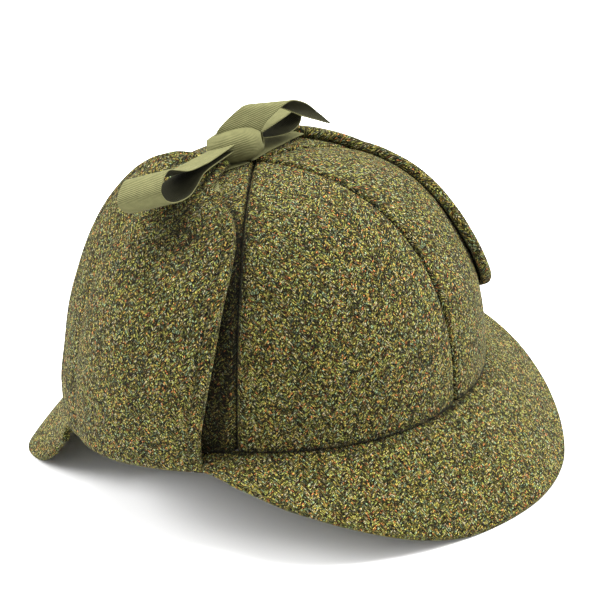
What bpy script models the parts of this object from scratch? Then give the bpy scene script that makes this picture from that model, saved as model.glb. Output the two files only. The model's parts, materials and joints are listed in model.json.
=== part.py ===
"""Deerstalker hat in tweed: six-panel crown, two peaks, two tied-up ear flaps and a ribbon bow.

Metres, +Z up. The wearer faces -Y, so the wearer's right is -X. The shapes are worked out in
the crown's own frame, with the rim of the head opening at z = 0. A parent empty then leans the
hat back until both peaks lie on the surface, and brings the middle of its box over the origin.
"""
import math

import bmesh
import bpy
from mathutils import Vector

# Crown
HALF_WIDTH = 0.091           # side to side, outside, at the rim
FRONT_LENGTH = 0.104         # from the crown's middle to the front of the rim
BACK_LENGTH = 0.076          # from the crown's middle to the back of the rim
CROWN_HEIGHT = 0.098
CROWN_WALL = 0.0025
TOP_FORWARD = 0.0155         # how far the top sits in front of the middle
FRONT_DIP = 0.0069           # the rim is lower at the front than at the sides
BACK_DIP = 0.0032
ROUNDNESS = 2.29             # exponent of the plan shrinking towards the top
FULLNESS = 2.38              # exponent of the height filling out
BACK_ROUNDNESS = 3.10        # the same two at the back, which is squarer
BACK_FULLNESS = 3.30
PUFF = 0.0018                # how far a panel's middle stands out between its seams
PUFF_FADE = 0.7              # how soon the puff dies away towards the top
SEAM_DIP = 0.0010
SEAM_GAP = 0.0003
SEAMS = (0, 65, 122, 180, 238, 295, 360)      # degrees round from the front centre
PANEL_NAMES = ("front_left", "side_left", "back_left", "back_right", "side_right", "front_right")
TOP_CLIMB = 89.2             # degrees: the panels' tips stop just short of the middle
PANEL_COLUMNS = 9
PANEL_ROWS = 14

# Peaks
PEAK_THICKNESS = 0.0035
FRONT_REACH = 0.0345         # how far the front peak stands out, seen from above
FRONT_DROP = 0.0400          # how far its edge hangs below the rim
BACK_REACH = 0.0350
BACK_DROP = 0.0325
PEAK_CURL = 1.25             # above 1 the peak bends down more towards its edge
PEAK_COLUMNS = 36
PEAK_ROWS = 6
SETTLE = 0.0006              # how much of a peak's edge is pressed flat where it rests
REST_GAP = 0.0003            # between pieces that lie on each other

# Degrees from the peak's own centre, reach and drop as shares of the peak's sizes.
FRONT_EDGE = (
    (0, 1.00, 1.00), (18, 0.93, 1.00), (30, 0.86, 0.86), (42, 0.77, 0.62),
    (54, 0.65, 0.36), (64, 0.47, 0.14), (71.6, 0.27, 0.04))
BACK_EDGE = (
    (0, 1.00, 0.90), (12, 1.00, 0.96), (20, 0.96, 1.00), (28, 0.70, 0.96),
    (34, 0.46, 0.76), (41.6, 0.22, 0.42))

# Ear flaps
FLAP_THICKNESS = 0.0030
FLAP_STAND = 0.0082          # how far the right flap's middle layer stands off the crown
LEFT_STAND = 0.0038          # the left flap is tied closer
FLAP_DENT = 0.0040           # depth of the hollow that the ribbon pulls into a flap
FLAP_FOLD = 0.0062           # how far the fold hangs below the rim
FLAP_FOLD_OUT = 0.0074       # how far the fold stands out from the rim
FLAP_EASE = 0.0004           # slack between a flap and the crown where it lies on it
FLAP_COLUMNS = 14
FLAP_ROWS = 18
LEFT_LEAN = 41               # degrees: the left flap's front edge spreads forward

# Climb in degrees, front and back edge in degrees round, how far each stands off as a share of
# FLAP_STAND, and how much of LEFT_LEAN the left flap's front edge takes there.
FLAP_EDGES = (
    (3, 72.6, 137.0, 0.90, 0.46, 0.00), (9, 71.5, 137.5, 0.95, 0.30, 0.66), (17, 70.2, 138.0, 1.00, 0.24, 0.95),
    (26, 69.0, 139.0, 0.98, 0.24, 1.00), (35, 68.0, 141.0, 0.88, 0.34, 0.93), (43, 67.0, 144.0, 0.74, 0.48, 0.68),
    (50, 66.6, 148.0, 0.64, 0.62, 0.36), (56, 67.2, 152.0, 0.56, 0.74, 0.18), (61, 69.5, 155.0, 0.46, 0.86, 0.10),
    (65, 73.5, 156.0, 0.35, 0.95, 0.06), (69, 79.0, 156.0, 0.26, 1.00, 0.04), (72.5, 87.0, 154.0, 0.22, 1.00, 0.03))
# Where the ribbon pulls a flap in below the bow: climb, its spread, share across, its spread.
FLAP_DENT_PLACE = (55, 8, 0.27, 0.14)
# The fold under the rim, as shares of how far it stands out and of how far it hangs down.
FOLD_ROWS = ((-0.16, 0.32), (0.12, 0.56), (0.46, 0.92), (0.82, 0.80), (0.99, 0.25))

# Ribbon
RIBBON_WIDTH = 0.0200
RIBBON_THICKNESS = 0.0009
RIBBON_ROWS = 26
TIE_PLACE = 0.24             # where a tie leaves the end of its flap, from the front corner back
TIE_APART = 0.0024           # between the ends of the two ties, under the knot
KNOT_LENGTH = 0.0260
KNOT_ACROSS = 0.0170
KNOT_HEIGHT = 0.0140
KNOT_SIDE = -0.0040          # the knot's place over the crown, seen from above
KNOT_FORWARD = 0.0100
KNOT_TURN = -58              # degrees: the knot's long side, round from +X
NEAR_LOOP = 0.0590           # length of the loop on the wearer's right
FAR_LOOP = 0.0370
TAIL = 0.0350                # reach of the loose end

# Out and up as shares of the loop's length, width as a share of the ribbon's.
NEAR_LOOP_PATH = (
    (0.15, 0.030, 0.62), (0.34, 0.022, 0.82), (0.48, 0.022, 0.95), (0.70, 0.054, 1.0), (0.85, 0.112, 1.0),
    (0.98, 0.160, 1.0), (1.07, 0.126, 1.0), (1.13, 0.062, 1.0), (1.10, -0.014, 1.0), (1.02, -0.072, 1.0),
    (0.90, -0.108, 1.0), (0.72, -0.116, 1.0), (0.49, -0.038, 0.95), (0.34, -0.022, 0.82), (0.16, -0.015, 0.62))
NEAR_LOOP_OUT = Vector((-1.05, -0.15, 0.053))        # which way the loop points, and its ribbon's width
NEAR_LOOP_ACROSS = Vector((-0.30, 0.93, -0.20)).normalized()
FAR_LOOP_PATH = (
    (0.295, 0.05, 0.62), (0.48, 0.09, 0.86), (0.70, 0.12, 1.0), (0.88, 0.13, 1.0), (0.98, 0.08, 1.0),
    (1.00, -0.01, 1.0), (0.92, -0.08, 1.0), (0.74, -0.10, 1.0), (0.52, -0.07, 0.86), (0.305, -0.03, 0.62))
# Sideways, away and up as shares of the tail's reach, then the direction of its width the same way.
TAIL_PATH = (
    (0.10, 0.00, 0.22, 1.00, 0.00, 0.00), (0.21, 0.04, 0.31, 1.00, 0.00, 0.00),
    (0.38, 0.11, 0.41, 1.00, 0.04, -0.02), (0.49, 0.20, 0.42, 0.98, 0.14, -0.08),
    (0.66, 0.31, 0.34, 0.88, 0.38, -0.24), (0.83, 0.40, 0.20, 0.72, 0.56, -0.40),
    (1.00, 0.48, 0.03, 0.58, 0.65, -0.49))
TAIL_BEARING = -57           # degrees: the tail's sideways direction, round from +X

TWEED = (0.115, 0.100, 0.052, 1.0)
TWEED_LIGHT = (0.135, 0.118, 0.060, 1.0)
RIBBON_GREEN = (0.235, 0.240, 0.120, 1.0)


def cloth_material(name, colour, roughness):
    material = bpy.data.materials.new(name)
    material.use_nodes = True
    shader = material.node_tree.nodes["Principled BSDF"]
    shader.inputs["Base Color"].default_value = colour
    shader.inputs["Roughness"].default_value = roughness
    shader.inputs["Metallic"].default_value = 0.0
    material.diffuse_color = colour
    return material


def smooth_read(table, where):
    """Read a row between the rows of a table by its first column, on a curve through them."""
    last = len(table) - 1
    if where <= table[0][0]:
        return table[0][1:]
    if where >= table[last][0]:
        return table[last][1:]
    k = next(i for i in range(last) if table[i + 1][0] >= where)
    share = (where - table[k][0]) / (table[k + 1][0] - table[k][0])
    before, after = table[max(k - 1, 0)], table[min(k + 2, last)]
    return tuple(
        curve_value(a, b, c, d, share)
        for a, b, c, d in zip(before[1:], table[k][1:], table[k + 1][1:], after[1:]))


def curve_value(a, b, c, d, share):
    """Catmull-Rom value between b and c."""
    return b + 0.5 * share * (c - a + share * (2 * a - 5 * b + 4 * c - d + share * (3 * (b - c) + d - a)))


def along(points, share):
    """Point at a share of the way through rows of numbers, on a smooth curve."""
    last = len(points) - 1
    k = min(int(share * last), last - 1)
    a, b, c, d = points[max(k - 1, 0)], points[k], points[k + 1], points[min(k + 2, last)]
    return tuple(curve_value(*values, share * last - k) for values in zip(a, b, c, d))


def crown_shares(round_degrees, climb):
    """How wide and how high the crown is at a climb, as shares of its rim and its height."""
    phi, t = math.radians(round_degrees), math.radians(climb)
    backward = ((1 - math.cos(phi)) / 2) ** 2
    plan = max(math.cos(t), 0.0) ** (2 / (ROUNDNESS + (BACK_ROUNDNESS - ROUNDNESS) * backward))
    lift = max(math.sin(t), 0.0) ** (2 / (FULLNESS + (BACK_FULLNESS - FULLNESS) * backward))
    return plan, lift


def crown_shell(round_degrees, climb):
    """Point of the smooth crown, without its panels' puff."""
    phi = math.radians(round_degrees)
    plan, lift = crown_shares(round_degrees, climb)
    length, dip = (FRONT_LENGTH, FRONT_DIP) if math.cos(phi) > 0 else (BACK_LENGTH, BACK_DIP)
    return Vector((
        HALF_WIDTH * math.sin(phi) * plan,
        -length * math.cos(phi) * plan - TOP_FORWARD * lift,
        CROWN_HEIGHT * lift - dip * math.cos(phi) ** 2 * (1 - lift)))


def crown_normal(round_degrees, climb):
    step = 0.5
    low = max(min(climb, 90 - 2 * step) - step, 0.0)
    around = crown_shell(round_degrees + step, low + step) - crown_shell(round_degrees - step, low + step)
    upward = crown_shell(round_degrees, low + 2 * step) - crown_shell(round_degrees, low)
    return around.cross(upward).normalized()


def panel_puff(round_degrees, climb):
    place = round_degrees % 360
    k = next(i for i in range(len(SEAMS) - 1) if SEAMS[i + 1] >= place)
    across = abs(2 * (place - SEAMS[k]) / (SEAMS[k + 1] - SEAMS[k]) - 1)
    fade = max(math.cos(math.radians(climb)), 0.0) ** PUFF_FADE
    return fade * (PUFF * (1 - across ** 2) - SEAM_DIP * across ** 12)


def crown_point(round_degrees, climb, stand=0.0):
    """Point at a distance off the puffed crown, outward."""
    out = crown_normal(round_degrees, climb)
    return crown_shell(round_degrees, climb) + out * (panel_puff(round_degrees, climb) + stand)


def rim_point(round_degrees, out, up):
    """Point near the rim: out from the crown's foot, seen from above, and up from it."""
    phi = math.radians(round_degrees)
    foot = crown_shell(round_degrees, 0)
    return foot + Vector((math.sin(phi) * out, -math.cos(phi) * out, up))


def over_crown(x, y, stand):
    """Point over the crown at a place seen from above, found by halving."""
    around, climb = math.degrees(math.atan2(x, -y - TOP_FORWARD)), 80.0
    for _ in range(6):
        low, high = 0.0, 90.0
        while high - low > 1e-6:
            climb = (low + high) / 2
            plan, lift = crown_shares(around, climb)
            forward = -(y + TOP_FORWARD * lift)
            length = FRONT_LENGTH if forward > 0 else BACK_LENGTH
            if math.hypot(x / HALF_WIDTH, forward / length) < plan:
                low = climb
            else:
                high = climb
        around = math.degrees(math.atan2(x / HALF_WIDTH, forward / length))
    highest_puff = PUFF * max(math.cos(math.radians(climb)), 0.0) ** PUFF_FADE
    return crown_shell(around, climb) + crown_normal(around, climb) * (highest_puff + stand)


def sheet_normals(grid):
    """Direction across the cloth at each point of a grid of points."""
    rows, columns = len(grid), len(grid[0])
    return [[
        (grid[i][min(j + 1, columns - 1)] - grid[i][max(j - 1, 0)]).cross(
            grid[min(i + 1, rows - 1)][j] - grid[max(i - 1, 0)][j]).normalized()
        for j in range(columns)] for i in range(rows)]


def cloth_solid(name, grid, thickness, material, hem=0.0, normals=None):
    """Closed solid around a grid of points in the cloth's middle; hem rounds its edge outward."""
    rows, columns = len(grid), len(grid[0])
    normals = normals or sheet_normals(grid)
    mesh = bmesh.new()
    faces_of = []
    for side in (0.5, -0.5):
        faces_of.append([[
            mesh.verts.new(grid[i][j] + normals[i][j] * side * thickness)
            for j in range(columns)] for i in range(rows)])
    front, back = faces_of
    for i in range(rows - 1):
        for j in range(columns - 1):
            for layer in (front, back):
                mesh.faces.new((layer[i][j], layer[i][j + 1], layer[i + 1][j + 1], layer[i + 1][j]))
    edge = [(0, j) for j in range(columns - 1)]
    edge += [(i, columns - 1) for i in range(rows - 1)]
    edge += [(rows - 1, j) for j in range(columns - 1, 0, -1)]
    edge += [(i, 0) for i in range(rows - 1, 0, -1)]
    rims = [[front[i][j] for i, j in edge]]
    if hem:
        middle = []
        for k, (i, j) in enumerate(edge):
            before, after = edge[k - 1], edge[(k + 1) % len(edge)]
            run = grid[after[0]][after[1]] - grid[before[0]][before[1]]
            middle.append(mesh.verts.new(grid[i][j] + run.cross(normals[i][j]).normalized() * hem))
        rims.append(middle)
    rims.append([back[i][j] for i, j in edge])
    for upper, lower in zip(rims, rims[1:]):
        for k in range(len(edge)):
            after = (k + 1) % len(edge)
            mesh.faces.new((upper[k], upper[after], lower[after], lower[k]))
    return finish(name, mesh, material)


def finish(name, mesh, material):
    bmesh.ops.recalc_face_normals(mesh, faces=mesh.faces)
    data = bpy.data.meshes.new(name)
    mesh.to_mesh(data)
    mesh.free()
    data.materials.append(material)
    data.shade_smooth()
    data.set_sharp_from_angle(angle=math.radians(50))
    piece = bpy.data.objects.new(name, data)
    bpy.context.collection.objects.link(piece)
    return piece


def crown_panel(name, start, end, material):
    grid, normals = [], []
    for i in range(PANEL_ROWS + 1):
        climb = TOP_CLIMB * i / PANEL_ROWS
        pace = (crown_shell(start + 1, climb) - crown_shell(start, climb)).length
        pace_end = (crown_shell(end, climb) - crown_shell(end - 1, climb)).length
        left, right = start + SEAM_GAP / 2 / pace, end - SEAM_GAP / 2 / pace_end
        places = [
            left + (right - left) * (0.5 - 0.5 * math.cos(math.pi * j / PANEL_COLUMNS))
            for j in range(PANEL_COLUMNS + 1)]
        grid.append([crown_point(place, climb, -CROWN_WALL / 2) for place in places])
        normals.append([crown_normal(place, climb) for place in places])
    return cloth_solid(name, grid, CROWN_WALL, material, normals=normals)


def peak_profile(centre, turn, out_share, edge_table, reach, drop):
    """Point of a peak's middle layer; out_share runs from 0 under the crown's wall to 1 at the edge."""
    reach_share, drop_share = smooth_read(edge_table, abs(turn))
    total = CROWN_WALL + reach * reach_share
    out = total * out_share - CROWN_WALL
    fall = max(out / (total - CROWN_WALL), 0.0) ** PEAK_CURL * drop * drop_share
    return rim_point(centre + turn, out, -REST_GAP - PEAK_THICKNESS / 2 - fall)


def peak(name, centre, edge_table, reach, drop, material):
    half_turn = edge_table[-1][0]
    grid = []
    for i in range(PEAK_ROWS + 1):
        row = []
        for j in range(PEAK_COLUMNS + 1):
            turn = half_turn * (2 * j / PEAK_COLUMNS - 1)
            row.append(peak_profile(centre, turn, i / PEAK_ROWS, edge_table, reach, drop))
        grid.append(row)
    return cloth_solid(name, grid, PEAK_THICKNESS, material, hem=PEAK_THICKNESS * 0.3)


def lowest_edge(piece):
    return min((vertex.co.copy() for vertex in piece.data.vertices), key=lambda point: point.z)


def ear_flap(name, side, stand, lean, material):
    """A flap turned up from the rim; side is 1 on the wearer's left and -1 on the right."""
    columns = [j / FLAP_COLUMNS for j in range(FLAP_COLUMNS + 1)]
    lowest, highest = FLAP_EDGES[0][0], FLAP_EDGES[-1][0]
    grid = []
    for i in range(FLAP_ROWS + 1):
        climb = lowest + (highest - lowest) * i / FLAP_ROWS
        front, back, front_stand, back_stand, take = smooth_read(FLAP_EDGES, climb)
        leaned = [side * (front + (back - front) * share - lean * take * (1 - 0.5 * share)) for share in columns]
        lifts = [
            flap_lift(stand * front_stand, stand * back_stand, share, flap_dent(climb, share)) for share in columns]
        if i == 0:
            for out, down in FOLD_ROWS:
                grid.append([
                    rim_point(round_degrees, out * (
                        FLAP_FOLD_OUT * lift / (FLAP_STAND * front_stand) + panel_puff(round_degrees, 0)),
                              -FLAP_FOLD * down)
                    for round_degrees, lift in zip(leaned, lifts)])
        grid.append([
            crown_point(round_degrees, climb, lift) for round_degrees, lift in zip(leaned, lifts)])
    return cloth_solid(name, grid, FLAP_THICKNESS, material, hem=flap_hem())


def flap_hem():
    return FLAP_THICKNESS * 0.3


def flap_lie():
    """Where the middle of a flap lies when it rests on the crown."""
    return FLAP_THICKNESS / 2 + REST_GAP + FLAP_EASE


def flap_dent(climb, share):
    middle_climb, climb_spread, middle_share, share_spread = FLAP_DENT_PLACE
    away = ((climb - middle_climb) / climb_spread) ** 2 + ((share - middle_share) / share_spread) ** 2
    return FLAP_DENT * math.exp(-away)


def flap_lift(front_stand, back_stand, share, dent):
    """Stand across a flap, which lies on the crown between its two edges."""
    front_part = max(front_stand - flap_lie(), 0.0) * max(1 - share / 0.75, 0.0) ** 1.3
    stand = front_part + max(back_stand - flap_lie(), 0.0) * share ** 2
    return flap_lie() + max(stand - dent, 0.0)


def tie(name, side, lean, knot, material):
    """The ribbon from the end of a flap, over the crown, to under the knot."""
    climb, front, back, _, _, take = FLAP_EDGES[-1]
    middle = side * (front + (back - front) * TIE_PLACE - lean * take)
    pace = (crown_shell(middle + 1, climb) - crown_shell(middle, climb)).length
    end = Vector((knot.x + side * TIE_APART / 2, knot.y))
    inward = (end - crown_shell(middle, climb).xy).normalized()
    across = Vector((-inward.y, inward.x))
    clear = flap_hem() + 2 * REST_GAP
    low = RIBBON_THICKNESS / 2 + REST_GAP
    rows = RIBBON_ROWS // 2
    grid = []
    for i in range(rows + 1):
        share = i / rows
        width = RIBBON_WIDTH * (1 - 0.3 * share)
        rise = (flap_lie() - low) * max(1 - share / 0.4, 0.0)
        row = []
        for j in range(5):
            aside = width * (j / 4 - 0.5)
            start = crown_shell(middle - side * aside / pace, climb).xy + inward * clear
            row.append(over_crown(*start.lerp(end + across * aside, share), low + rise))
        grid.append(row)
    return cloth_solid(name, grid, RIBBON_THICKNESS, material)


def bow_knot(name, knot, floor_height, material):
    """A rounded block of wrapped ribbon, pressed flat where it lies on the ties."""
    mesh = bmesh.new()
    bmesh.ops.create_uvsphere(mesh, u_segments=20, v_segments=12, radius=0.5)
    turn = math.radians(KNOT_TURN)
    for vertex in mesh.verts:
        x, y, z = vertex.co
        x, y, z = (math.copysign(abs(2 * v) ** 0.8, v) / 2 for v in (x, y, z))
        x, y, z = x * KNOT_LENGTH, y * KNOT_ACROSS, z * KNOT_HEIGHT + 0.12 * x * KNOT_LENGTH
        vertex.co = knot + Vector((
            x * math.cos(turn) - y * math.sin(turn), x * math.sin(turn) + y * math.cos(turn), z))
        vertex.co.z = max(vertex.co.z, floor_height)
    return finish(name, mesh, material)


def ribbon(name, rows, material):
    """A strip of ribbon through rows of (middle, width direction, width)."""
    grid = [[middle + across * width * (j / 2 - 0.5) for j in range(3)] for middle, across, width in rows]
    return cloth_solid(name, grid, RIBBON_THICKNESS, material)


def bow_loop(name, path, length, out, across, shift, knot, material):
    rows = []
    for i in range(RIBBON_ROWS + 1):
        far, up, width = along(path, i / RIBBON_ROWS)
        middle = knot + out * far * length + Vector((0, 0, up * length)) + across * shift * min(far / 0.5, 1.0)
        rows.append((middle, across, width * RIBBON_WIDTH))
    return ribbon(name, rows, material)


def bow_tail(name, knot, material):
    bearing = math.radians(TAIL_BEARING)
    sideways = Vector((math.cos(bearing), math.sin(bearing), 0))
    away = Vector((-math.sin(bearing), math.cos(bearing), 0))
    rows = []
    for i in range(RIBBON_ROWS + 1):
        aside, back, up, *width = along(TAIL_PATH, i / RIBBON_ROWS)
        middle = knot + (sideways * aside + away * back + Vector((0, 0, up))) * TAIL
        across = sideways * width[0] + away * width[1] + Vector((0, 0, width[2]))
        rows.append((middle, across.normalized(), RIBBON_WIDTH))
    return ribbon(name, rows, material)


def rest_on_peaks(front, back, pieces):
    """Lean the hat until both peaks lie on the surface, and press their edges flat there."""
    front_low, back_low = lowest_edge(front), lowest_edge(back)
    slope = (back_low.z - front_low.z) / (back_low.y - front_low.y)
    height = front_low.z - slope * front_low.y + SETTLE
    for piece in (front, back):
        for vertex in piece.data.vertices:
            vertex.co.z = max(vertex.co.z, height + slope * vertex.co.y)
    seat = bpy.data.objects.new("hat", None)
    bpy.context.collection.objects.link(seat)
    seat.rotation_euler = (-math.atan(slope), 0, 0)
    for piece in pieces:
        piece.parent = seat
    bpy.context.view_layer.update()
    corners = [seat.matrix_world @ vertex.co for piece in pieces for vertex in piece.data.vertices]
    spans = [(min(c[k] for c in corners), max(c[k] for c in corners)) for k in range(3)]
    seat.location = (-sum(spans[0]) / 2, -sum(spans[1]) / 2, -spans[2][0])


def build():
    tweed = [cloth_material(f"tweed_{name}", TWEED, 0.95) for name in PANEL_NAMES]
    pieces = [
        crown_panel(f"crown_{name}", SEAMS[k], SEAMS[k + 1], tweed[k])
        for k, name in enumerate(PANEL_NAMES)]
    front = peak("front_peak", 0, FRONT_EDGE, FRONT_REACH, FRONT_DROP,
                 cloth_material("tweed_front_peak", TWEED_LIGHT, 0.95))
    back = peak("back_peak", 180, BACK_EDGE, BACK_REACH, BACK_DROP,
                cloth_material("tweed_back_peak", TWEED_LIGHT, 0.95))
    pieces += [front, back]
    pieces.append(ear_flap("ear_flap_right", -1, FLAP_STAND, 0,
                           cloth_material("tweed_flap_right", TWEED_LIGHT, 0.95)))
    pieces.append(ear_flap("ear_flap_left", 1, LEFT_STAND, LEFT_LEAN,
                           cloth_material("tweed_flap_left", TWEED_LIGHT, 0.95)))

    knot_floor = CROWN_HEIGHT + RIBBON_THICKNESS + 2 * REST_GAP
    knot = Vector((KNOT_SIDE, -KNOT_FORWARD, knot_floor + KNOT_HEIGHT * 0.46))
    ribbon_cloth = {
        name: cloth_material(f"ribbon_{name}", RIBBON_GREEN, 0.8)
        for name in ("tie_right", "tie_left", "knot", "loop_right", "loop_left", "tail")}
    pieces.append(tie("tie_right", -1, 0, knot, ribbon_cloth["tie_right"]))
    pieces.append(tie("tie_left", 1, LEFT_LEAN, knot, ribbon_cloth["tie_left"]))
    pieces.append(bow_knot("bow_knot", knot, knot_floor, ribbon_cloth["knot"]))
    pieces.append(bow_loop("bow_loop_right", NEAR_LOOP_PATH, NEAR_LOOP, NEAR_LOOP_OUT, NEAR_LOOP_ACROSS,
                           RIBBON_WIDTH / 2, knot, ribbon_cloth["loop_right"]))
    pieces.append(bow_loop("bow_loop_left", FAR_LOOP_PATH, FAR_LOOP, Vector((1, 0, 0)), Vector((0, 1, 0)),
                           0.0, knot, ribbon_cloth["loop_left"]))
    pieces.append(bow_tail("bow_tail", knot, ribbon_cloth["tail"]))
    rest_on_peaks(front, back, pieces)


for old in list(bpy.data.objects):
    bpy.data.objects.remove(old, do_unlink=True)
build()
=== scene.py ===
import json
import math

import bmesh
import bpy
from mathutils import Matrix, Vector

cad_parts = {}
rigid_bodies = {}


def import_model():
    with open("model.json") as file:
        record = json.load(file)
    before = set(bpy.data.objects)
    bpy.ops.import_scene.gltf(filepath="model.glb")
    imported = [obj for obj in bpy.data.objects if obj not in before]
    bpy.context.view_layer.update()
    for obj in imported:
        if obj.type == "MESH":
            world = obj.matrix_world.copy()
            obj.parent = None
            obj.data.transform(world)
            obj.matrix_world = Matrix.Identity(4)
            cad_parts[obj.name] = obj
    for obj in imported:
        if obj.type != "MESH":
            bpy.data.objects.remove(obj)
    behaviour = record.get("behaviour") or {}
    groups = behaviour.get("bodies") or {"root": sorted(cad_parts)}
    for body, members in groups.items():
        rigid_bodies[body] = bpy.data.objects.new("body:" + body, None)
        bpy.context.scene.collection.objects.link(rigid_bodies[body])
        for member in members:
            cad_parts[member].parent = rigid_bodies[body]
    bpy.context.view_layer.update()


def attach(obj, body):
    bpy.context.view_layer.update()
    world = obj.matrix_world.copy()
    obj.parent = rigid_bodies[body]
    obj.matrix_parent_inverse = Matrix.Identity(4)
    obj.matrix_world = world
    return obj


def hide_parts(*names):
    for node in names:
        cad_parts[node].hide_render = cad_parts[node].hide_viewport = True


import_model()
print("frame loaded")

# azimuth 0 looks along +Y at the front of the hat, the roll turns the picture
view = {"azimuth": -54.75, "elevation": 23.91, "roll": -6.04, "distance": 1.6105, "lens": 215.78,
        "aim": (0.0221, 0.0034, 0.0655)}


def addCamera(view):
    azimuth, elevation, roll = (math.radians(view[key]) for key in ("azimuth", "elevation", "roll"))
    back = Vector((math.cos(elevation) * math.sin(azimuth), -math.cos(elevation) * math.cos(azimuth),
                   math.sin(elevation)))
    level = Vector((math.cos(azimuth), math.sin(azimuth), 0))
    upright = back.cross(level)
    right = level * math.cos(roll) + upright * math.sin(roll)
    up = upright * math.cos(roll) - level * math.sin(roll)
    lens = bpy.data.cameras.new("photoCamera")
    lens.lens, lens.sensor_width = view["lens"], 36
    lens.clip_start, lens.clip_end = 0.1, 20
    camera = bpy.data.objects.new("photoCamera", lens)
    bpy.context.collection.objects.link(camera)
    turn = Matrix((right, up, back)).transposed().to_4x4()
    camera.matrix_world = Matrix.Translation(Vector(view["aim"]) + back * view["distance"]) @ turn
    bpy.context.scene.camera = camera


addCamera(view)
print("camera set")


# numbers and shader sockets in one kind of expression

class Signal:
    def __init__(self, maker, socket):
        self.maker = maker
        self.socket = socket

    def maths(self, operation, *others):
        numbered = dict(enumerate((self,) + others))
        return self.maker.add("Math", {"operation": operation}, numbered)

    def __add__(self, other):
        return self.maths("ADD", other)

    def __sub__(self, other):
        return self.maths("SUBTRACT", other)

    def __rsub__(self, other):
        return (self * -1) + other

    def __mul__(self, other):
        return self.maths("MULTIPLY", other)

    def __truediv__(self, other):
        return self.maths("DIVIDE", other)

    __radd__ = __add__
    __rmul__ = __mul__


class Finish:
    def __init__(self, name):
        self.material = bpy.data.materials.new(name)
        self.material.use_nodes = True
        self.tree = self.material.node_tree
        self.surface = self.tree.nodes["Principled BSDF"]

    def add(self, kind, settings, sockets, output=0):
        node = self.tree.nodes.new("ShaderNode" + kind)
        for key, value in settings.items():
            if key == "stops":
                self.setStops(node.color_ramp, value)
            else:
                setattr(node, key, value)
        for key, value in sockets.items():
            self.feed(node.inputs[key], value)
        return Signal(self, node.outputs[output])

    def setStops(self, ramp, stops):
        while len(ramp.elements) < len(stops):
            ramp.elements.new(1.0)
        for element, (place, colour) in zip(ramp.elements, stops):
            element.position = place
            element.color = (*colour, 1.0)

    def feed(self, socket, value):
        if isinstance(value, Signal):
            self.tree.links.new(value.socket, socket)
        else:
            socket.default_value = value

    def ramp(self, factor, stops, interpolation="LINEAR"):
        ramp = self.add("ValToRGB", {"stops": stops}, {"Fac": factor})
        ramp.socket.node.color_ramp.interpolation = interpolation
        return ramp

    def blend(self, factor, first, second, mode="MIX"):
        return self.add("Mix", {"data_type": "RGBA", "blend_type": mode}, {0: factor, 6: first, 7: second}, 2)

    def darken(self, colour, red, green, blue):
        shade = self.add("CombineColor", {}, {0: red, 1: green, 2: blue})
        return self.blend(1.0, colour, shade, "MULTIPLY")

    def noise(self, place, scale, detail=2.0, dimensions="2D"):
        return self.add("TexNoise", {"noise_dimensions": dimensions},
                        {"Vector": place, "Scale": scale, "Detail": detail})

    def finish(self, sockets):
        for key, value in sockets.items():
            self.feed(self.surface.inputs[key], value)
        return self.material


# herringbone wool: sizes in metres, on each piece's own "cloth" map, which is in metres too
tweedLook = {
    "column": 0.0030, "rib": 0.00080, "steep": 1.15, "fleck": 0.0019, "wander": 0.00022, "loose": 0.60,
    "columnShift": 7.31, "driftScale": 260.0, "patchScale": 85.0, "fuzzScale": 1.5, "twill": 0.12,
    "yarnTone": 0.72, "fuzzTone": 1.90, "toneDrop": 0.86, "patchDye": 0.35, "paintedShadeStrength": 0.86,
    "gap": (1.28, 1.15, 0.25),  # brightness of a yarn's middle, its fall to the edge, the least
    "patchLight": (0.86, 0.28),  # even part and patchy part
    "relief": (0.8, 0.6, 0.5),  # from the gaps, the fuzz and each yarn's own height
    "tone": ((0.00, (0.002, 0.002, 0.002)), (0.20, (0.009, 0.009, 0.009)), (0.50, (0.042, 0.042, 0.042)),
             (0.78, (0.140, 0.140, 0.140)), (1.00, (0.450, 0.450, 0.450))),
    "dye": ((0.00, (1.00, 0.89, 0.20)), (0.26, (0.86, 0.93, 0.22)), (0.44, (1.04, 0.90, 0.38)),
            (0.60, (1.16, 0.80, 0.18)), (0.72, (0.70, 0.93, 0.50)), (0.84, (1.02, 0.92, 0.56)),
            (0.94, (1.55, 0.58, 0.18))),
    "depth": 0.00042,
}


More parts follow.
